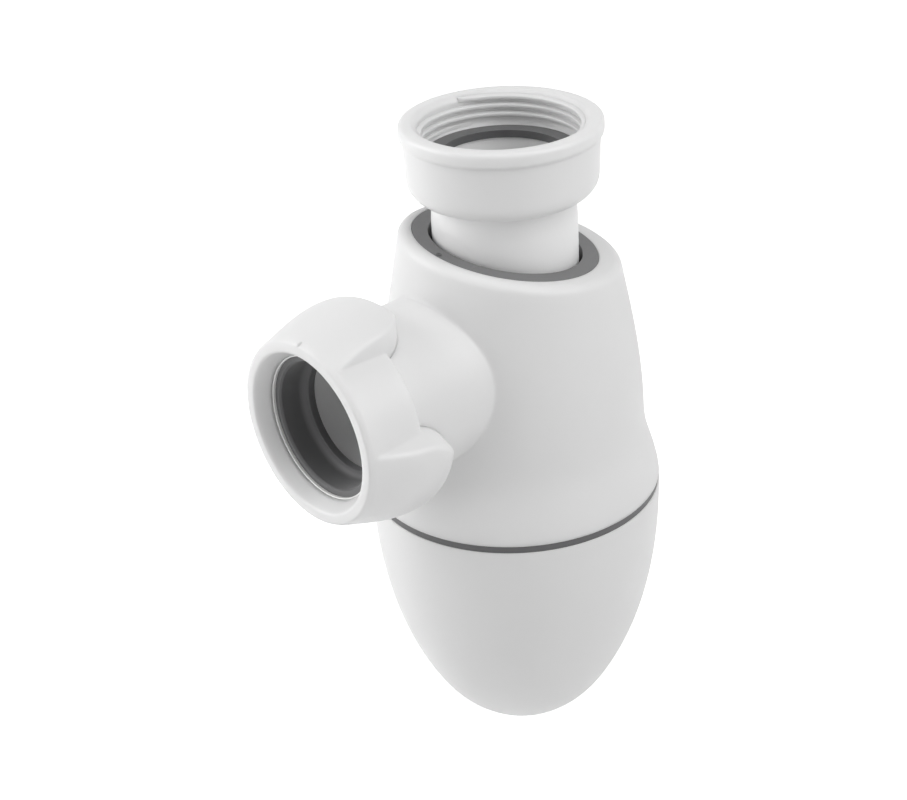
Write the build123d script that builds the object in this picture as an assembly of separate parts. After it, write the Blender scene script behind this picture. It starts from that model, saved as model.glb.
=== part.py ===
from build123d import *
import os
from math import sin, cos, radians

# Bottle trap for a washbasin. The origin is the centre of the inlet nut's mouth, +Z is up
# and the outlet points along -Y. All lengths are in millimetres and all angles in degrees.

# Standard sizes that the trap is made to
basin_thread_r = 20.955      # major radius of the 1 1/4 inch pipe thread, inlet and outlet
basin_thread_height = 1.479  # radial height of that thread's turns
pipe_r = 16.0                # outside radius of the waste pipe that the outlet takes

# Clearances
thread_gap = 0.3             # radial, between screwed pieces
turning_gap = 0.35           # radial, between a nut and the tube that it turns on
seat_gap = 0.3               # along the axis, between a nut's shoulder and what it holds
washer_gap = 0.4             # radial, between the washer and the nut
lip_gap = 0.08               # radial, between the tube and the lip that wipes it
pocket_gap = 0.1             # radial, between a seal and the pocket that holds it
skirt_gap = 0.5              # radial, between the outlet nut's tongues and the boss

# Blocks that trim or cut
overrun = 1.0                # how far a cutter runs past the face that it cuts
block_size = 200.0           # larger than the trap in every direction

# Inlet washer and tube
tube_r = 18.7
tube_wall = 2.3
tube_end = 142.0             # depth of the tube's lower end
tube_end_bevel = 1.0
neck_in = 0.4                # how much thinner the neck is than the tube, radial
neck_cone = 5.0              # length over which the neck widens
flange_out = 1.2             # how far the flange stands out from the neck
flange_thick = 4.0
washer_out = 0.4             # how far the washer reaches past the flange
washer_in = 0.4              # how far it reaches in front of the tube's bore
washer_thick = 2.0
neck_r = tube_r - neck_in
tube_bore_r = tube_r - tube_wall
flange_r = neck_r + flange_out
washer_r = flange_r + washer_out
washer_hole_r = tube_bore_r - washer_in

# Inlet nut
inlet_thread_depth = 7.4     # of the threaded wall, the rest of the bore is the washer's room
inlet_nut_wall = 3.945
inlet_body_draft = 0.7       # how much the wall narrows downwards
inlet_body_round = 5.0       # at the nut's lower end
inlet_floor = 4.0            # thickness under the shoulder that holds the flange
inlet_rim_out = 0.8          # how far the rim's bead stands out
inlet_rim_height = 2.8       # of the bead, below the thread's start
inlet_rim_round = 1.1
inlet_mouth_rise = 1.2       # height of the bevelled mouth above the thread's start
inlet_mouth_flare = 1.25     # how much wider the mouth is than the thread, radial
neck_clear = 1.2             # length of plain neck below the nut
washer_depth = inlet_thread_depth + seat_gap
shoulder_depth = washer_depth + washer_thick + flange_thick + seat_gap
inlet_height = shoulder_depth + inlet_floor
neck_end = inlet_height + neck_clear
inlet_room_r = washer_r + washer_gap
inlet_body_top_r = max(basin_thread_r, inlet_room_r) + inlet_nut_wall
inlet_body_low_r = inlet_body_top_r - inlet_body_draft
inlet_rim_r = inlet_body_top_r + inlet_rim_out
inlet_mouth_r = basin_thread_r + inlet_mouth_flare

# Top seal and the slanted top that it lies in
top_depth = 31.7             # depth of the slanted top on the axis
top_tilt = 12.0
top_turn = 51.0              # the top falls towards this direction, counted from +X
top_round = 2.6
seal_hole_gap = 1.0          # radial, between the tube and the seal above its lip
skirt_wall = 2.3
skirt_long = 12.8            # how far the skirt reaches below the top
pocket_ledge = 2.45          # width of the pocket outside the skirt
pocket_deep = 3.5
lip_thick = 1.6
lip_rise = 2.2
seal_hole_r = tube_r + seal_hole_gap
skirt_r = seal_hole_r + skirt_wall
skirt_end = -top_depth - skirt_long
pocket_r = skirt_r + pocket_ledge

# Upper body
top_rim_width = 2.45         # of the wall round the top seal
top_allowance = 7.7          # how far the side line starts above the top, to be cut slanted
seam_r = 39.4
seam_level = -99.5
body_wall = 2.6
floor_thick = 3.0            # web under the top seal's pocket
collar_wall = 2.2
collar_over = 2.0            # how far the collar reaches below the skirt
rim_bore_height = 14.0       # height of the narrower bore above the seam
side_line = (                # height and widening, as shares of the way from top to seam
    (0.2583, 0.288), (0.4768, 0.528), (0.7020, 0.664), (0.8146, 0.720), (0.9139, 0.888))
body_top_r = pocket_r + top_rim_width
body_top_level = top_allowance - top_depth
rim_bore_level = seam_level + rim_bore_height
passage_r = skirt_r + pocket_gap
collar_r = passage_r + collar_wall
collar_end = skirt_end - collar_over

# Outlet
outlet_level = -60.1
boss_out = 0.545             # how far the boss stands out from the thread
boss_end = 50.5              # distance from the tube's axis
boss_round = 1.0
spigot_long = 10.5           # length of the threaded part
spigot_bevel = 0.8
outlet_bore_gap = 0.6        # radial, between the waste pipe and the bore behind the seal
socket_step = 1.35           # radial, counterbore that holds the outlet seal
socket_deep = 7.5
boss_r = basin_thread_r + boss_out
outlet_core_r = basin_thread_r - basin_thread_height
spigot_end = boss_end + spigot_long
outlet_bore_r = pipe_r + outlet_bore_gap
socket_r = outlet_bore_r + socket_step

# Outlet seal and the ring in front of it
outlet_flange_inset = 0.355  # how much smaller than the thread the seal's flange is, radial
outlet_flange_thick = 2.2
outlet_seal_wall = 1.05
outlet_seal_step = 0.4       # width of the bevel at the seal's mouth
outlet_seal_bevel = 0.6      # depth of that bevel
outlet_lip_grip = 1.2        # how much smaller than the pipe the relaxed lip is, radial
outlet_lip_long = 2.0
slip_ring_thick = 0.8
slip_ring_width = 2.455
outlet_flange_r = basin_thread_r - outlet_flange_inset
outlet_lip_r = pipe_r - outlet_lip_grip
slip_ring_hole_r = basin_thread_r - slip_ring_width

# Outlet nut
throat_gap = 0.3             # radial, between the throat and the slip ring's hole
throat_deep = 4.2            # from the mouth to the slip ring
mouth_flare = 2.3
outlet_rim_width = 2.6
outlet_rim_round = 1.4
outlet_nut_wall = 3.245
outlet_body_draft = 0.6
outlet_body_short = 0.7      # how far the wall between the tongues ends before the boss
outlet_body_round = 0.8
outlet_tongues = 3
outlet_tongue_over = 9.4     # how far the tongues reach past that wall
outlet_tongue_width = 27.0
outlet_tongue_turn = 92.0
outlet_tongue_corner = 11.5
outlet_tongue_from = 12.0    # where a tongue starts, inside the bore
outlet_tongue_round = 1.4    # soft edge all round a tongue
outlet_crown_height = 3.6
outlet_crown_before = 1.5    # the crown's highest place, before the end of the wall
outlet_crown_rise = (0.35, 0, -1)
outlet_crown_fall = (-1, 0, -0.35)
outlet_tail_wall = 1.9
outlet_mouth = spigot_end + outlet_flange_thick + slip_ring_thick + throat_deep
outlet_throat_r = slip_ring_hole_r + throat_gap
outlet_mouth_r = outlet_throat_r + mouth_flare
outlet_rim_r = outlet_mouth_r + outlet_rim_width
outlet_body_r = basin_thread_r + thread_gap + outlet_nut_wall
outlet_body_rear_r = outlet_body_r - outlet_body_draft
outlet_step = outlet_mouth - boss_end - seat_gap
outlet_body_length = outlet_step - outlet_body_short
outlet_length = outlet_body_length + outlet_tongue_over
outlet_crown_r = outlet_body_r + outlet_crown_height
outlet_crown_at = outlet_body_length - outlet_crown_before
outlet_tail_r = boss_r + skirt_gap + outlet_tail_wall

# Cup and its seal
seam_land = 4.2              # width of the flat between the seam's edge and the cup's thread
cup_seal_thick = 2.05
cup_seal_inset = 0.3
cup_thread_long = 12.0
cup_thread_clear = 1.5       # depth left under the body's screwed end
cup_thread_height = 1.2      # radial height of the turns
cup_spigot_wall = 1.8        # of the screwed end, under the turns
cup_straight = 3.0
cup_round_deep = 74.8
cup_wall = 2.6
cup_collar_taper = 3.0       # height over which the thread's wall runs out into the bowl
cup_thread_r = seam_r - seam_land
cup_core_r = cup_thread_r - cup_thread_height
rim_bore_r = cup_core_r - cup_spigot_wall


def at(r, z):
    """Point of an outline that is turned about the Z axis."""
    return Vector(r, 0, z)


def turned(*lines):
    """Solid turned about Z from lines that close an outline in the XZ plane."""
    return revolve(make_face(Curve() + list(lines)), Axis.Z)


def rod(radius, low, high):
    """Upright round rod between two levels."""
    return Pos(0, 0, (low + high) / 2) * Cylinder(radius, high - low)


def tube_solid(outer, inner, low, high):
    """Plain upright tube between two levels."""
    return rod(outer, low, high) - rod(inner, low, high)


def outlet_rod(radius, near, far):
    """Round rod on the outlet's axis between two distances from the tube's axis."""
    return Pos(0, 0, outlet_level) * Rot(90, 0, 0) * rod(radius, near, far)


def inlet_nut():
    """Swivel nut: a turned bowl with a beaded rim, a bevelled mouth and a rounded lower end."""
    top = inlet_mouth_rise
    throat_r = neck_r + turning_gap
    bore = turned(Polyline(
        at(0, top + overrun), at(inlet_mouth_r, top + overrun), at(inlet_mouth_r, top),
        at(basin_thread_r, 0), at(basin_thread_r, -inlet_thread_depth),
        at(inlet_room_r, -inlet_thread_depth), at(inlet_room_r, -shoulder_depth),
        at(throat_r, -shoulder_depth), at(throat_r, -inlet_height - overrun),
        at(0, -inlet_height - overrun), close=True))
    rim = rod(inlet_rim_r, -inlet_rim_height, top)
    rim = fillet(rim.edges().filter_by(GeomType.CIRCLE), inlet_rim_round)
    body = turned(Polyline(
        at(0, 0), at(inlet_body_top_r, 0), at(inlet_body_low_r, -inlet_height),
        at(0, -inlet_height), close=True))
    body = fillet(
        body.edges().filter_by(GeomType.CIRCLE).sort_by(Axis.Z)[0], inlet_body_round)
    return rim + body - bore


def inlet_washer():
    """Flat rubber washer on the tube's flange."""
    return tube_solid(washer_r, washer_hole_r, -washer_depth - washer_thick, -washer_depth)


def inlet_tube():
    """Dip tube: flange, neck, cone and the long plain part that slides in the top seal."""
    flange_top = -washer_depth - washer_thick
    return turned(Polyline(
        at(tube_bore_r, flange_top), at(flange_r, flange_top),
        at(flange_r, flange_top - flange_thick), at(neck_r, flange_top - flange_thick),
        at(neck_r, -neck_end), at(tube_r, -neck_end - neck_cone),
        at(tube_r, -tube_end + tube_end_bevel), at(tube_r - tube_end_bevel, -tube_end),
        at(tube_bore_r, -tube_end), close=True))


def top_plane(depth=0.0):
    """Slanted plane of the body's top, or one parallel to it that lies deeper."""
    lean = Vector(sin(radians(top_tilt)) * cos(radians(top_turn)),
                  sin(radians(top_tilt)) * sin(radians(top_turn)), cos(radians(top_tilt)))
    centre = Vector(0, 0, -top_depth) - lean * depth
    return Plane(origin=centre, z_dir=lean)


def above(plane):
    """Block that fills everything above a plane."""
    return plane * Pos(0, 0, block_size / 2) * Box(block_size, block_size, block_size)


def body_line(inset):
    """Side line of the upper body, moved towards the axis by the inset."""
    points = []
    for down, out in ((0, 0), *side_line, (1, 1)):
        r = body_top_r + out * (seam_r - body_top_r) - inset
        points.append(at(r, body_top_level + down * (seam_level - body_top_level)))
    return Spline(*points)


def body_shell():
    """Outside of the upper body with its slanted and rounded top, hollow below."""
    side = body_line(0)
    outside = turned(
        Polyline(side @ 0, at(0, body_top_level), at(0, seam_level), side @ 1), side)
    outside -= above(top_plane())
    outside = fillet(outside.edges().sort_by(Axis.Z)[-1], top_round)
    return outside


def body_hollow():
    """Room inside the upper body, under the web that carries the top seal."""
    side = body_line(body_wall)
    room = turned(
        Polyline(side @ 0, at(0, body_top_level), at(0, seam_level), side @ 1), side)
    narrow = rod(rim_bore_r, seam_level - overrun, rim_bore_level)
    room &= narrow + above(Plane.XY.offset(rim_bore_level))
    room -= above(top_plane(pocket_deep + floor_thick))
    return room


def upper_body():
    """Body with outlet boss, threaded outlet, seal pocket and the screwed end for the cup."""
    shell = body_shell()
    boss = outlet_rod(boss_r, 0, boss_end)
    spigot = outlet_rod(outlet_core_r, 0, spigot_end)
    spigot = chamfer(
        spigot.edges().filter_by(GeomType.CIRCLE).sort_by(Axis.Y)[0], spigot_bevel)
    body = shell + boss
    joint_line = [edge for edge in body.edges()
                  if edge.geom_type not in (GeomType.CIRCLE, GeomType.LINE)
                  and abs(edge.center().Z - outlet_level) < boss_r
                  and edge.center().Y < -boss_r]
    body = fillet(joint_line, boss_round)
    body += spigot
    room = body_hollow()
    body -= room - rod(collar_r, collar_end, 0)
    body += tube_solid(cup_core_r, rim_bore_r, seam_level - cup_thread_long, seam_level)
    bore = outlet_rod(outlet_bore_r, collar_r, spigot_end + overrun)
    socket = outlet_rod(socket_r, spigot_end - socket_deep, spigot_end + overrun)
    pocket = top_plane(pocket_deep) * rod(pocket_r, 0, 2 * pocket_deep)
    passage = rod(passage_r, collar_end - overrun, 0)
    return body - bore - socket - pocket - passage


def top_seal():
    """Slanted rubber ring with a skirt, whose lip wipes the tube."""
    disc = top_plane(pocket_deep) * rod(pocket_r - pocket_gap, 0, pocket_deep)
    skirt = rod(skirt_r, skirt_end, 0) - above(top_plane(pocket_deep / 2))
    hole = rod(seal_hole_r, skirt_end - overrun, 0)
    lip_r = tube_r + lip_gap
    lip = turned(Polyline(
        at(lip_r, skirt_end), at(skirt_r, skirt_end),
        at(skirt_r, skirt_end + lip_thick + lip_rise),
        at(seal_hole_r, skirt_end + lip_thick + lip_rise),
        at(lip_r, skirt_end + lip_thick), close=True))
    return disc + skirt - hole + lip


def at_outlet(shape):
    """Moves a piece drawn upright, with its front at Z = 0, to the outlet nut's mouth."""
    return Pos(0, -outlet_mouth, outlet_level) * Rot(90, 0, 0) * shape


def outlet_tongue(crown, angle):
    """One tongue with a round end and soft edges, cut from a turned crown."""
    half = outlet_tongue_width / 2
    strip = make_face(Polyline(
        (-half, 0), (half, 0), (half, -outlet_length), (-half, -outlet_length), close=True))
    strip = fillet(strip.vertices().sort_by(Axis.Y)[:2], outlet_tongue_corner)
    blank = extrude(Plane.YZ.offset(outlet_tongue_from) * strip, block_size / 2)
    tongue = crown & (Rot(0, 0, angle) * blank)
    arch = tongue.faces().filter_by(GeomType.REVOLUTION).sort_by(SortBy.AREA)[-1]
    return fillet(arch.edges().sort_by(Axis.Z)[:-1], outlet_tongue_round)


def outlet_nut():
    """Coupling nut with a flared throat and three crowned tongues that reach over the boss."""
    step = -outlet_step
    thread_r = basin_thread_r + thread_gap
    shoulder = -throat_deep
    skirt_bore = boss_r + skirt_gap
    bore = turned(Polyline(
        at(0, overrun), at(outlet_mouth_r + overrun, overrun), at(outlet_mouth_r, 0),
        at(outlet_throat_r, shoulder), at(thread_r, shoulder), at(thread_r, step),
        at(skirt_bore, step), at(skirt_bore, -outlet_length - overrun),
        at(0, -outlet_length - overrun), close=True))
    front = [at(0, 0), at(outlet_rim_r, 0), at(outlet_body_r, -outlet_rim_round)]
    body = turned(Polyline(
        *front, at(outlet_body_rear_r, -outlet_body_length), at(0, -outlet_body_length),
        close=True))
    body = fillet(
        body.edges().filter_by(GeomType.CIRCLE).sort_by(Axis.Z)[0], outlet_body_round)
    arch = Spline(
        front[2], at(outlet_crown_r, -outlet_crown_at), at(outlet_tail_r, -outlet_length),
        tangents=[outlet_crown_rise, outlet_crown_fall])
    crown = turned(
        Polyline(front[2], front[1], front[0], at(0, -outlet_length), arch @ 1), arch)
    nut = body
    for number in range(outlet_tongues):
        nut += outlet_tongue(crown, outlet_tongue_turn + number * 360 / outlet_tongues)
    return at_outlet(nut - bore)


def slip_ring():
    """Thin hard ring that lets the outlet nut turn without dragging the seal."""
    rear = -throat_deep - slip_ring_thick
    return at_outlet(tube_solid(basin_thread_r, slip_ring_hole_r, rear, rear + slip_ring_thick))


def outlet_seal():
    """Rubber collar: flange, sleeve in the outlet's socket, and the lip that grips the pipe."""
    seat = spigot_end - outlet_mouth
    front = seat + outlet_flange_thick
    rear = seat - socket_deep + seat_gap
    sleeve_r = socket_r - pocket_gap
    inner_r = sleeve_r - outlet_seal_wall
    lip_front = rear + outlet_lip_long
    funnel = TangentArc(
        at(inner_r, lip_front + inner_r - outlet_lip_r), at(outlet_lip_r, lip_front),
        tangent=(0, 0, -1))
    return at_outlet(turned(
        funnel,
        Polyline(funnel @ 1, at(outlet_lip_r, rear), at(sleeve_r, rear), at(sleeve_r, seat),
                 at(outlet_flange_r, seat), at(outlet_flange_r, front),
                 at(inner_r + outlet_seal_step, front), at(inner_r, front - outlet_seal_bevel),
                 funnel @ 0)))


def cup_seal():
    """Flat rubber ring between the body's rim and the cup's rim."""
    return tube_solid(seam_r - cup_seal_inset, cup_thread_r + thread_gap + pocket_gap,
                      seam_level - cup_seal_thick, seam_level)


def bowl_line(radius, depth, centre, steps=6):
    """Quarter of an ellipse in the XZ plane, from its rim down to the lowest point."""
    points = []
    for step in range(steps + 1):
        angle = radians(90 * step / steps)
        points.append(at(radius * cos(angle), centre - depth * sin(angle)))
    points[-1] = at(0, centre - depth)
    return Spline(*points, tangents=[(0, 0, -1), (-1, 0, 0)])


def cup():
    """Screwed cup, a short straight collar that runs into half an ellipsoid."""
    top = seam_level - cup_seal_thick
    centre = top - cup_straight
    inner_r = seam_r - cup_wall
    thread_r = cup_thread_r + thread_gap
    thread_low = seam_level - cup_thread_long - cup_thread_clear
    outside = bowl_line(seam_r, cup_round_deep, centre)
    inside = bowl_line(inner_r, cup_round_deep - cup_wall, centre)
    bowl = turned(
        outside, Polyline(outside @ 1, at(0, top), at(seam_r, top), outside @ 0))
    hollow = turned(
        inside,
        Polyline(inside @ 1, at(0, top + overrun), at(inner_r, top + overrun), inside @ 0))
    collar_r = seam_r - cup_wall / 2
    collar = turned(Polyline(
        at(thread_r, top), at(collar_r, top), at(collar_r, thread_low - cup_collar_taper),
        at(inner_r, thread_low - cup_collar_taper), at(thread_r, thread_low), close=True))
    return (bowl - hollow) + (collar & bowl)


pieces = {
    "inlet_nut": inlet_nut,
    "inlet_washer": inlet_washer,
    "inlet_tube": inlet_tube,
    "top_seal": top_seal,
    "upper_body": upper_body,
    "outlet_nut": outlet_nut,
    "slip_ring": slip_ring,
    "outlet_seal": outlet_seal,
    "cup_seal": cup_seal,
    "cup": cup,
}

os.makedirs("parts", exist_ok=True)
for name, make in pieces.items():
    piece = make()
    export_step(piece, f"parts/{name}.step")
    box = piece.bounding_box()
    print(name, "solids", len(piece.solids()), "volume", round(piece.volume),
          "size", [round(v, 1) for v in box.size])
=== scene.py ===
# %% [markdown]
# # A washbasin bottle trap
#
# A bottle trap hangs under a washbasin and keeps sewer air out with the water that stands in
# its cup. This one is moulded in white plastic, with dark rubber seals between its pieces.
# The solids come in at their real size and place, so this lesson is about what a solid
# model lacks: finishes, screw threads, the small marks of moulding, light and a camera.

# %% Load the solids
from math import cos, pi, radians, sin

import bmesh
import bpy
from mathutils import Matrix, Vector


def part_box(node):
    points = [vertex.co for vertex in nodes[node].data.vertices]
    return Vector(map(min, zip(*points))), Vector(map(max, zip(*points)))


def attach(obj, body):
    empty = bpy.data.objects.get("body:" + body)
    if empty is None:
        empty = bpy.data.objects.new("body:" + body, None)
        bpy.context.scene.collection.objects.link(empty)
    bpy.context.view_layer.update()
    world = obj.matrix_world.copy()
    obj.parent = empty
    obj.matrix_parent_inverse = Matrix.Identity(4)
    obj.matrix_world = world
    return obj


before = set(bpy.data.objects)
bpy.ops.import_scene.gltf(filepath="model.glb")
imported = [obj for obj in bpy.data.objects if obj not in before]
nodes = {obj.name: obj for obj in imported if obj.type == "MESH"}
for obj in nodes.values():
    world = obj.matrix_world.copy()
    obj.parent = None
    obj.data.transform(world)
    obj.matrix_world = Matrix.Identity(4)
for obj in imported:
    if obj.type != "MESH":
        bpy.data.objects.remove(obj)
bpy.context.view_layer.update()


def short(values):
    """Numbers in a form that is easy to read when printed."""
    return [round(value, 4) for value in values]


print("solids:", ", ".join(sorted(nodes)))

# %% [markdown]
# ## Measures
#
# The scene is in metres. A few sizes are easier to think about in millimetres, so one
# factor turns them. Levels are read from the solids wherever a box gives them, so that a
# new size in the solids brings the dressing along.

# %% Sizes read from the solids
mm = 0.001
trap_low, trap_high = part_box("cup")[0].z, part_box("inlet_nut")[1].z
outlet_axis = (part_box("slip_ring")[0].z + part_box("slip_ring")[1].z) / 2
spigot_end = -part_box("upper_body")[0].y
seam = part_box("cup_seal")[1].z
print("height", round(trap_high - trap_low, 4), "outlet axis at", round(outlet_axis, 4))


# %% [markdown]
# ## Building materials out of nodes
#
# Every finish here is procedural. It is worked out from the place of each point on the
# object, so it needs no unwrapping and no picture. One helper adds a node and sets its
# inputs, and a few more name the steps that every finish takes. That keeps each material
# short enough to read.

# %% Helpers for nodes
def add_node(tree, kind, **values):
    """Adds a shader node, sets its inputs by name and returns it."""
    node = tree.nodes.new("ShaderNode" + kind)
    for name, value in values.items():
        node.inputs[name.replace("_", " ")].default_value = value
    return node


def noise(tree, place, scale, detail=3.0, rough=0.55):
    """Noise over the object's own coordinates. Its scale is in features for each metre."""
    node = add_node(tree, "TexNoise", Scale=scale, Detail=detail, Roughness=rough)
    tree.links.new(place, node.inputs["Vector"])
    return node.outputs["Fac"]


def between(tree, factor, low, high):
    """Spreads the middle of a noise, where most of it lies, over the range from low to high."""
    node = add_node(tree, "MapRange", From_Min=0.3, From_Max=0.7, To_Min=low, To_Max=high)
    tree.links.new(factor, node.inputs["Value"])
    return node.outputs["Result"]


def mixed(tree, factor, first, second):
    """Mixes two colours by a factor."""
    node = tree.nodes.new("ShaderNodeMix")
    node.data_type = "RGBA"
    tree.links.new(factor, node.inputs["Factor"])
    node.inputs["A"].default_value = (*first, 1)
    node.inputs["B"].default_value = (*second, 1)
    return node.outputs["Result"]


def bumped(tree, height, distance, strength, below=None):
    """Raises the surface by a height, on top of an earlier bump where one is given."""
    node = add_node(tree, "Bump", Strength=strength, Distance=distance)
    tree.links.new(height, node.inputs["Height"])
    if below is not None:
        tree.links.new(below, node.inputs["Normal"])
    return node.outputs["Normal"]


def new_finish(name):
    """A material with its shader, its links and the object's coordinates."""
    material = bpy.data.materials.new(name)
    material.use_nodes = True
    tree = material.node_tree
    shader = tree.nodes["Principled BSDF"]
    place = tree.nodes.new("ShaderNodeTexCoord").outputs["Object"]
    return material, tree, shader, place


# %% [markdown]
# ## White moulded plastic
#
# The body, the cup, the tube and the nuts are polypropylene. Its surface takes the satin
# texture of the mould. Two noises make the satin: a fine one for the mould's texture, and a
# broad one for the slight unevenness of a thick moulding as it cools. Light also scatters a
# few millimetres deep, which softens the shading and lifts the shade inside the bores.
#
# The nuts come out of polished moulds, so they get the same recipe, smoother. Their edges are
# generous, and a Bevel node rounds the shading over them, inside corners too, where a
# bevelled mesh would break up on small faces. Their roughness stays above 0.28. Below that
# the renderer's noise filter takes a surface for a mirror, and where the noise in the
# roughness crosses the line it leaves small dark marks.

# %% White plastic
def white_plastic(name, pale, deep, smooth, matt, grain, soft):
    """Satin white plastic, from two tones, a range of roughness, grain and soft edges."""
    material, tree, shader, place = new_finish(name)
    broad = noise(tree, place, 28, detail=2)
    fine = noise(tree, place, 2600, detail=2, rough=0.6)
    cloud = noise(tree, place, 90, detail=4)
    tree.links.new(mixed(tree, broad, pale, deep), shader.inputs["Base Color"])
    tree.links.new(between(tree, cloud, smooth, matt), shader.inputs["Roughness"])
    edges = add_node(tree, "Bevel", Radius=soft)
    edges.samples = 8
    wavy = bumped(tree, broad, 0.06 * mm, 0.35, edges.outputs["Normal"])
    tree.links.new(bumped(tree, fine, 0.012 * mm, grain, wavy), shader.inputs["Normal"])
    shader.inputs["IOR"].default_value = 1.49
    shader.inputs["Subsurface Weight"].default_value = 0.55
    shader.inputs["Subsurface Radius"].default_value = (1.0, 1.0, 1.0)
    shader.inputs["Subsurface Scale"].default_value = 3.0 * mm
    return material


body_white = white_plastic(
    "satin white", (0.80, 0.80, 0.80), (0.77, 0.77, 0.77), 0.40, 0.52, 0.35, 0.5 * mm)
nut_white = white_plastic(
    "smooth white", (0.82, 0.82, 0.82), (0.79, 0.79, 0.79), 0.29, 0.38, 0.18, 1.3 * mm)
thread_white = white_plastic(
    "thread white", (0.82, 0.82, 0.82), (0.79, 0.79, 0.79), 0.30, 0.40, 0.18, 0.2 * mm)
tube_white = white_plastic(
    "tube white", (0.87, 0.87, 0.87), (0.85, 0.85, 0.85), 0.33, 0.44, 0.22, 0.4 * mm)
print("plastics:", [m.name for m in (body_white, nut_white, thread_white, tube_white)])

# %% [markdown]
# ## Hard slip ring
#
# The thin ring in front of the outlet's seal is a harder and glossier plastic, so that the
# nut glides over it. Only its inner edge shows, as a bright line round the rubber.

# %% Slip ring plastic
def ring_plastic():
    """Glossy hard plastic with a faint cloud in its colour and gloss."""
    material, tree, shader, place = new_finish("hard white ring")
    cloud = noise(tree, place, 240)
    tree.links.new(
        mixed(tree, cloud, (0.88, 0.88, 0.87), (0.84, 0.84, 0.83)), shader.inputs["Base Color"])
    tree.links.new(between(tree, cloud, 0.16, 0.26), shader.inputs["Roughness"])
    tree.links.new(bumped(tree, cloud, 0.02 * mm, 0.3), shader.inputs["Normal"])
    shader.inputs["IOR"].default_value = 1.5
    return material


ring_white = ring_plastic()
print("ring:", ring_white.name)

# %% [markdown]
# ## Dark rubber
#
# The seals are a grey rubber. Rubber is never as dark as it looks: it has a wide, weak sheen
# where light grazes it. Sheen on the shader gives that. A speckle of paler dust and a fine
# bump keep the ring from looking like a painted line. The top seal is paler than the others.

# %% Rubber
def seal_rubber(name, tone, sheen):
    """Matt moulded rubber of one tone, with dust, grain and a grazing sheen."""
    material, tree, shader, place = new_finish(name)
    dust = noise(tree, place, 900, detail=5, rough=0.7)
    grain = noise(tree, place, 3200, detail=2)
    dusty = tuple(1.35 * value for value in tone)
    tree.links.new(mixed(tree, dust, tone, dusty), shader.inputs["Base Color"])
    tree.links.new(between(tree, dust, 0.48, 0.66), shader.inputs["Roughness"])
    tree.links.new(bumped(tree, grain, 0.02 * mm, 0.4), shader.inputs["Normal"])
    shader.inputs["IOR"].default_value = 1.52
    shader.inputs["Sheen Weight"].default_value = sheen
    shader.inputs["Sheen Roughness"].default_value = 0.5
    return material


top_rubber = seal_rubber("top seal rubber", (0.13, 0.13, 0.132), 0.14)
dark_rubber = seal_rubber("dark seal rubber", (0.076, 0.076, 0.078), 0.28)
print("rubbers:", top_rubber.name, "and", dark_rubber.name)

# %% [markdown]
# ## Dressing the solids
#
# A solid's mesh stays as it is, so dressing it means giving it a material and rounding its
# sharp edges with modifiers. A moulded edge is never quite sharp, and the thin highlight
# along it tells the eye that the thing is real. The weld comes first, because the mesh
# arrives split along its edges, and a bevel needs them joined. The nuts have no such
# modifiers, because their shader already softens their edges.

# %% Give each solid its finish
finishes = {
    "inlet_nut": nut_white,
    "inlet_washer": dark_rubber,
    "inlet_tube": tube_white,
    "top_seal": top_rubber,
    "upper_body": body_white,
    "outlet_nut": nut_white,
    "slip_ring": ring_white,
    "outlet_seal": dark_rubber,
    "cup_seal": dark_rubber,
    "cup": body_white,
}
edge_round = {                 # in millimetres
    "upper_body": 0.3, "cup": 0.25, "inlet_tube": 0.2, "top_seal": 0.15, "outlet_seal": 0.12,
    "slip_ring": 0.12}


def rounded(piece, width):
    """Joins the mesh's split edges and rounds those that are sharp."""
    weld = piece.modifiers.new("join", "WELD")
    weld.merge_threshold = 0.001 * mm
    bevel = piece.modifiers.new("edge", "BEVEL")
    bevel.width = width
    bevel.segments = 3
    bevel.limit_method = "ANGLE"
    bevel.angle_limit = radians(32)
    bevel.harden_normals = False


for name, finish in finishes.items():
    solid = nodes[name]
    solid.data.materials.clear()
    solid.data.materials.append(finish)
    if name in edge_round:
        rounded(solid, edge_round[name] * mm)
    print(f"{name}: {finish.name}, {len(solid.data.polygons)} faces")

# %% [markdown]
# ## New pieces
#
# The threads and the marks of moulding are new meshes. Each is built point by point in a
# working mesh, turned into an object, and then tied to the body that it moves with. A thread
# on the nut has to come off with the nut.

# %% Helpers for new pieces
def as_object(name, mesh):
    """Turns a working mesh into a smooth object of the scene."""
    data = bpy.data.meshes.new(name)
    mesh.to_mesh(data)
    mesh.free()
    data.polygons.foreach_set("use_smooth", [True] * len(data.polygons))
    thing = bpy.data.objects.new(name, data)
    bpy.context.collection.objects.link(thing)
    return thing


def fitted(piece, finish, body):
    """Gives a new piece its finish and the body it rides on."""
    piece.data.materials.append(finish)
    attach(piece, body)


def skinned(mesh, rings):
    """Joins each ring of points to the next with faces and closes both ends."""
    corners = len(rings[0])
    for first, second in zip(rings, rings[1:]):
        for k in range(corners):
            following = (k + 1) % corners
            mesh.faces.new((first[k], first[following], second[following], second[k]))
    mesh.faces.new(rings[0])
    mesh.faces.new(reversed(rings[-1]))
    bmesh.ops.recalc_face_normals(mesh, faces=mesh.faces)


# %% [markdown]
# ## Screw threads
#
# A thread is one ridge wound round a wall. It could be a texture, but then it has no depth
# when the trap is opened. Here the ridge's section is carried along a helix and joined into a
# skin. The ridge fades in and out at its ends, as a moulded thread does, so nothing stops
# with a blunt face.

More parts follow.
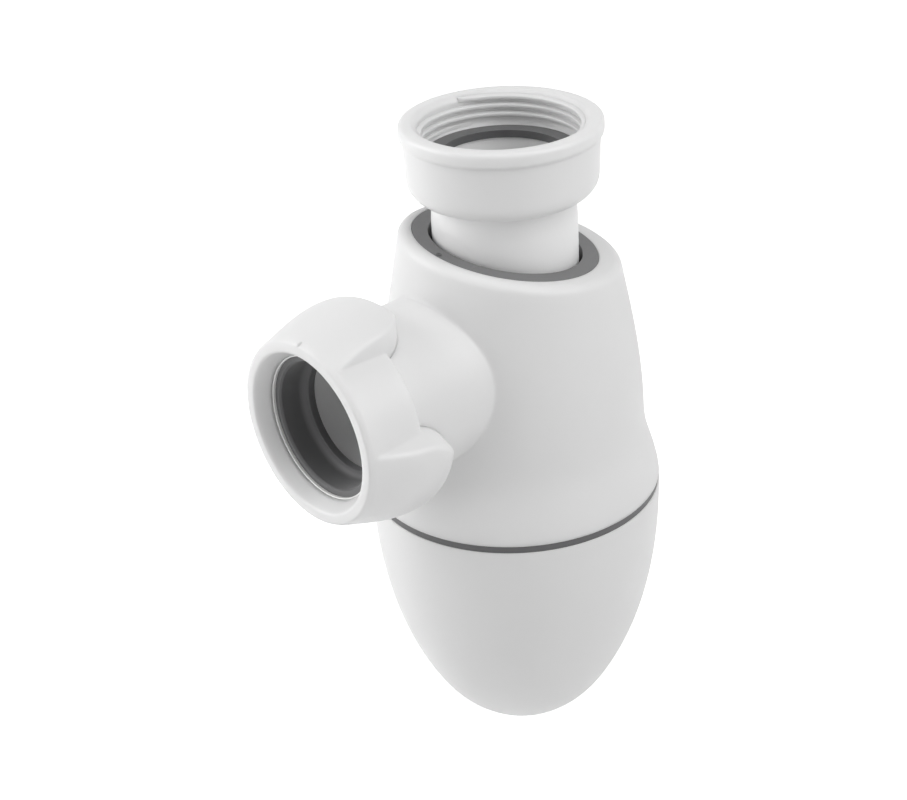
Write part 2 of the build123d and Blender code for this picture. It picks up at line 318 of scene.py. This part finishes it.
# %% A ridge along a helix
def thread_ridge(name, wall_r, height, pitch, start, length, inward, first_angle=0.0,
                 fade_in=1 / 6, root=0.1 * mm, shares=(0.4, 0.1)):
    """A thread's ridge about +Z, on a wall, from a level downwards.

    The root is buried in the wall. The shares of the pitch are half the foot's and half
    the crest's width. The ridge fades over parts of a turn.
    """
    steps = 72                 # sections in each turn
    fade_out = 1 / 6
    count = int(length / pitch * steps)
    foot, crest = (share * pitch for share in shares)
    side = -1 if inward else 1
    sunk = wall_r - side * root
    rings = []
    mesh = bmesh.new()
    for i in range(count + 1):
        angle = first_angle - 2 * pi * i / steps
        level = start - pitch * i / steps
        fade = min(1.0, i / steps / fade_in, (count - i) / steps / fade_out)
        top = wall_r + side * height * fade
        section = ((sunk, foot), (wall_r, foot), (top, crest),
                   (top, -crest), (wall_r, -foot), (sunk, -foot))
        rings.append([
            mesh.verts.new((r * cos(angle), r * sin(angle), level + z)) for r, z in section])
    skinned(mesh, rings)
    ridge = as_object(name, mesh)
    rounded(ridge, 0.12 * mm)
    print(f"{name}: {length / pitch:.1f} turns, {len(ridge.data.polygons)} faces")
    return ridge


# %% [markdown]
# The inlet nut takes the 1 1/4 inch pipe thread of a basin's waste, and its ridge shows in
# the mouth. It starts bluntly in the bevel at the back left, which is why its root is buried
# deep, and ends just above the washer.

# %% Inlet nut thread
basin_thread_r = 20.955 * mm
basin_pitch = 2.309 * mm
inlet_thread = thread_ridge(
    "inlet_thread", basin_thread_r, 1.0 * mm, basin_pitch, 0.0, 7.0 * mm, inward=True,
    first_angle=radians(168), fade_in=1 / 30, root=1.0 * mm, shares=(0.33, 0.17))
fitted(inlet_thread, thread_white, "inlet_nut")

# %% [markdown]
# The outlet has the same thread, as a pair that comes to light when its nut is taken off: one
# ridge stands on the body's spigot and the other in the nut. They lie half a pitch from each
# other, so they pass one another cleanly as the nut turns. Both are drawn about the vertical
# and then turned onto the outlet's axis.

# %% Outlet threads
thread_depth = 1.479 * mm
outlet_ridge = 1.3 * mm
nut_wall_gap = 0.3 * mm


def onto_outlet(piece):
    """Turns a piece drawn about +Z so that +Z points out along the outlet's axis."""
    piece.matrix_world = (
        Matrix.Translation((0, 0, outlet_axis)) @ Matrix.Rotation(pi / 2, 4, "X"))


spigot_first = spigot_end - 1.9 * mm
spigot_thread = thread_ridge(
    "spigot_thread", basin_thread_r - thread_depth, outlet_ridge, basin_pitch, spigot_first,
    7.4 * mm, inward=False)
nut_thread = thread_ridge(
    "outlet_nut_thread", basin_thread_r + nut_wall_gap, outlet_ridge, basin_pitch,
    spigot_first + basin_pitch / 2, 8.2 * mm, inward=True)
for piece, body in ((spigot_thread, "body"), (nut_thread, "outlet_nut")):
    onto_outlet(piece)
    fitted(piece, thread_white, body)

# %% [markdown]
# The cup screws onto the end under the body with a coarser thread, since it is opened by
# hand to clean the trap. Like every common thread all these are right-handed, which is why
# the helix goes down as it turns clockwise.

# %% Cup threads
cup_core_r = 34.0 * mm
cup_wall_r = 35.5 * mm
cup_ridge = 1.1 * mm
cup_pitch = 3.5 * mm
body_first = seam - 4.4 * mm
body_thread = thread_ridge(
    "body_thread", cup_core_r, cup_ridge, cup_pitch, body_first, 5.6 * mm, inward=False)
cup_thread = thread_ridge(
    "cup_thread", cup_wall_r, cup_ridge, cup_pitch, body_first - cup_pitch / 2, 5.0 * mm,
    inward=True)
fitted(body_thread, thread_white, "body")
fitted(cup_thread, thread_white, "cup")

# %% [markdown]
# ## Gate marks
#
# Rubber and plastic are pressed into a mould through a small hole, and where they are
# snapped off there stays a low ring with a pit. It could be a bump in the material, but a
# short profile turned about its middle costs little and catches the light from every side.

# %% A ring with a pit
def gate_mark(name, place, upright, wide=1.0, high=1.0):
    """A low ring with a pit in the middle, from a profile of radii and heights."""
    profile = [(0.0, 0.04), (0.25, 0.06), (0.42, 0.34), (0.6, 0.4), (0.78, 0.26), (0.84, -0.1)]
    corners = 32
    mesh = bmesh.new()
    rings = [[mesh.verts.new((r * mm * cos(2 * pi * k / corners),
                              r * mm * sin(2 * pi * k / corners), z * mm))
              for k in range(corners)] for r, z in profile[1:]]
    middle = mesh.verts.new((0, 0, profile[0][1] * mm))
    for k in range(corners):
        following = (k + 1) % corners
        mesh.faces.new((middle, rings[0][k], rings[0][following]))
        for inner, outer in zip(rings, rings[1:]):
            mesh.faces.new((inner[k], outer[k], outer[following], inner[following]))
    mark = as_object(name, mesh)
    lie = upright.to_track_quat("Z", "Y").to_matrix().to_4x4()
    mark.matrix_world = Matrix.Translation(place) @ lie @ Matrix.Diagonal((wide, 1, high, 1))
    return mark


# %% [markdown]
# One mark lies flat on the top seal's slanted face, at the side of the outlet. The face's tilt
# gives both its level there and its upright direction. It is in the darker rubber of the other
# seals, a painted shade that makes its ring and pit show on the paler seal. A narrower mark
# lies on the bevel of the outlet nut's rim.

# %% Gate marks
top_tilt, top_turn = radians(12), radians(51)
top_upright = Vector((sin(top_tilt) * cos(top_turn), sin(top_tilt) * sin(top_turn), cos(top_tilt)))
top_level = -31.7 * mm
gate_x, gate_y = 0.23 * mm, -23.0 * mm
gate_z = top_level - (top_upright.x * gate_x + top_upright.y * gate_y) / top_upright.z
seal_gate = gate_mark("seal_gate", Vector((gate_x, gate_y, gate_z)), top_upright)
# painted shade: the darker rubber stands in for the shade in the mark's ring and pit
fitted(seal_gate, dark_rubber, "body")

rim_slope = Vector((0, -0.48, 0.88))
rim_place = Vector((0, -67.5 * mm, outlet_axis + 24.1 * mm))
nut_gate = gate_mark("nut_gate", rim_place, rim_slope, wide=0.5, high=0.5)
fitted(nut_gate, thread_white, "outlet_nut")
print("gate marks at", short(seal_gate.location), "and", short(nut_gate.location))

# %% [markdown]
# ## White surroundings
#
# The picture's background is white, but white surroundings would flood a white object with
# light. The Light Path node tells what a ray is for. The camera, reflections and glass see
# one strength, and the rays that light the trap see a lower one.

# %% One strength to look at, another to light with
def shown(tree, hidden, seen):
    """One value for rays that light the trap, another for the camera, gloss and glass."""
    path = tree.nodes.new("ShaderNodeLightPath")
    either = path.outputs["Is Camera Ray"]
    for other in ("Is Glossy Ray", "Is Transmission Ray"):
        largest = tree.nodes.new("ShaderNodeMath")
        largest.operation = "MAXIMUM"
        tree.links.new(either, largest.inputs[0])
        tree.links.new(path.outputs[other], largest.inputs[1])
        either = largest.outputs["Value"]
    chosen = add_node(tree, "MapRange", To_Min=hidden, To_Max=seen)
    tree.links.new(either, chosen.inputs["Value"])
    return chosen.outputs["Result"]


world = bpy.data.worlds.new("studio")
world.use_nodes = True
bpy.context.scene.world = world
sky = world.node_tree.nodes["Background"]
world.node_tree.links.new(shown(world.node_tree, 0.2, 1.0), sky.inputs["Strength"])
sky.inputs["Color"].default_value = (1, 1, 1, 1)
print("world:", world.name)

# %% [markdown]
# ## Floor
#
# The trap hangs by its inlet, so the floor lies a little under its tip. It is pale, and the
# camera sees it glow, but not so strongly near the trap that the shadow would be lost. The
# glow rises further out, where the lamps don't reach, so that floor and world meet in white.

# %% Floor
def stage_finish():
    """Pale floor that shows as white, to the camera and in gloss, but keeps its shadow."""
    material, tree, shader, place = new_finish("pale floor")
    cloud = noise(tree, place, 6)
    tree.links.new(
        mixed(tree, cloud, (0.80, 0.80, 0.80), (0.78, 0.78, 0.78)), shader.inputs["Base Color"])
    shader.inputs["Roughness"].default_value = 0.85
    distance = tree.nodes.new("ShaderNodeVectorMath")
    distance.operation = "LENGTH"
    tree.links.new(place, distance.inputs["Vector"])
    glow = add_node(tree, "MapRange", From_Min=0.35, From_Max=1.0, To_Min=0.65, To_Max=1.0)
    tree.links.new(distance.outputs["Value"], glow.inputs["Value"])
    strength = tree.nodes.new("ShaderNodeMath")
    strength.operation = "MULTIPLY"
    tree.links.new(glow.outputs["Result"], strength.inputs[0])
    tree.links.new(shown(tree, 0.0, 1.0), strength.inputs[1])
    shader.inputs["Emission Color"].default_value = (1, 1, 1, 1)
    tree.links.new(strength.outputs["Value"], shader.inputs["Emission Strength"])
    return material


def pale_floor(level, half):
    """A wide flat floor."""
    mesh = bmesh.new()
    bmesh.ops.create_grid(mesh, x_segments=2, y_segments=2, size=half)
    floor = as_object("floor", mesh)
    floor.location.z = level
    floor.data.materials.append(stage_finish())
    print("floor at", round(level, 4))


pale_floor(trap_low - 12 * mm, 3.0)

# %% [markdown]
# ## Light
#
# The largest soft lamp stands left and a little behind, and the next one front right and
# higher, so that both silhouettes are brighter than the middle and the outlet's throat stays
# in the shade. A small one looks into the outlet. They stay at a plain level, so a colour
# renders about as it is written.

# %% Lamps
def soft_lamp(name, place, target, size, power):
    """A square area lamp that faces a point."""
    data = bpy.data.lights.new(name, "AREA")
    data.size = size
    data.energy = power
    lamp = bpy.data.objects.new(name, data)
    bpy.context.collection.objects.link(lamp)
    lamp.location = place
    lamp.rotation_euler = (target - place).to_track_quat("-Z", "Y").to_euler()


def direction(azimuth, elevation):
    """Where an azimuth and an elevation point, with azimuth 0 in front of the outlet."""
    return Vector((sin(azimuth) * cos(elevation), -cos(azimuth) * cos(elevation), sin(elevation)))


view_azimuth = 49.29
lamp_distance = 0.9
middle = Vector((0, 0, (trap_low + trap_high) / 2))
lamps = {                      # azimuth from the camera, elevation, size and power
    "left lamp": (-95, 25, 0.7, 5.2),
    "right lamp": (60, 40, 0.7, 4.4),
    "top lamp": (10, 75, 0.6, 1.5),
    "outlet lamp": (-49, 12, 0.35, 0.7),
}
for name, (azimuth, elevation, size, power) in lamps.items():
    towards = direction(radians(view_azimuth + azimuth), radians(elevation))
    soft_lamp(name, middle + lamp_distance * towards, middle, size, power)
print("lamps:", ", ".join(lamps))

# %% [markdown]
# ## Camera
#
# The camera stands where the photographer's did. Its place comes from the ellipses that the
# trap's round edges make in a picture: their widths and tilts fix the angle, and how they
# shrink with distance fixes how near the camera is. Its three directions are built by hand,
# because it is also rolled a little.

# %% Camera
view_elevation = 28.45
view_roll = -3.38
camera_place = Vector((302.34, -280.85, 146.26)) * mm
focal_in_pixels = 1746.2
image_width = 907
sensor_width = 36

turned, roll = radians(view_azimuth), radians(view_roll)
back = direction(turned, radians(view_elevation))
right = Vector((cos(turned), sin(turned), 0))
up = back.cross(right)
tilted_right = cos(roll) * right + sin(roll) * up
tilted_up = -sin(roll) * right + cos(roll) * up

camera_data = bpy.data.cameras.new("camera")
camera = bpy.data.objects.new("camera", camera_data)
bpy.context.collection.objects.link(camera)
facing = Matrix((tilted_right, tilted_up, back)).transposed().to_4x4()
camera.matrix_world = Matrix.Translation(camera_place) @ facing
camera_data.sensor_width = sensor_width
camera_data.lens = focal_in_pixels * sensor_width / image_width
camera_data.clip_start = 0.01
camera_data.clip_end = 20
bpy.context.scene.camera = camera
bpy.context.scene.view_settings.view_transform = "Standard"
print("lens", round(camera_data.lens, 2), "mm")
